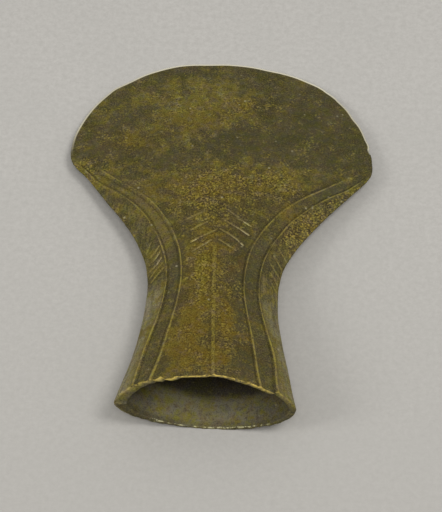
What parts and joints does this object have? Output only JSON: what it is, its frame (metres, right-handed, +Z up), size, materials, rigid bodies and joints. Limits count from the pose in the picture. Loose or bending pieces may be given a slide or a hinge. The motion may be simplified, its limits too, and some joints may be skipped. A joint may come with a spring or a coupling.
{
  "type": "socketed axe head",
  "caption": "Cast bronze axe head with a wide fan-shaped blade, a flared pointed-oval socket left open for a haft, raised border lines, a centre rib and herringbone strokes",
  "frame": {"origin": "the middle of the bounding box in plan, on the ground under the casting, which lies on its back", "axes": "+X across the blade, +Y from the socket mouth towards the cutting edge, +Z up from the ground through the upper face"},
  "size_m": [0.0968, 0.1462, 0.0232],
  "materials": {
    "bronze": "worn cast bronze with a mottled olive-brown patina, brighter on the raised lines and edges"
  },
  "bodies": {
    "root": {"axe_head": "bronze"}
  },
  "joints": []
}
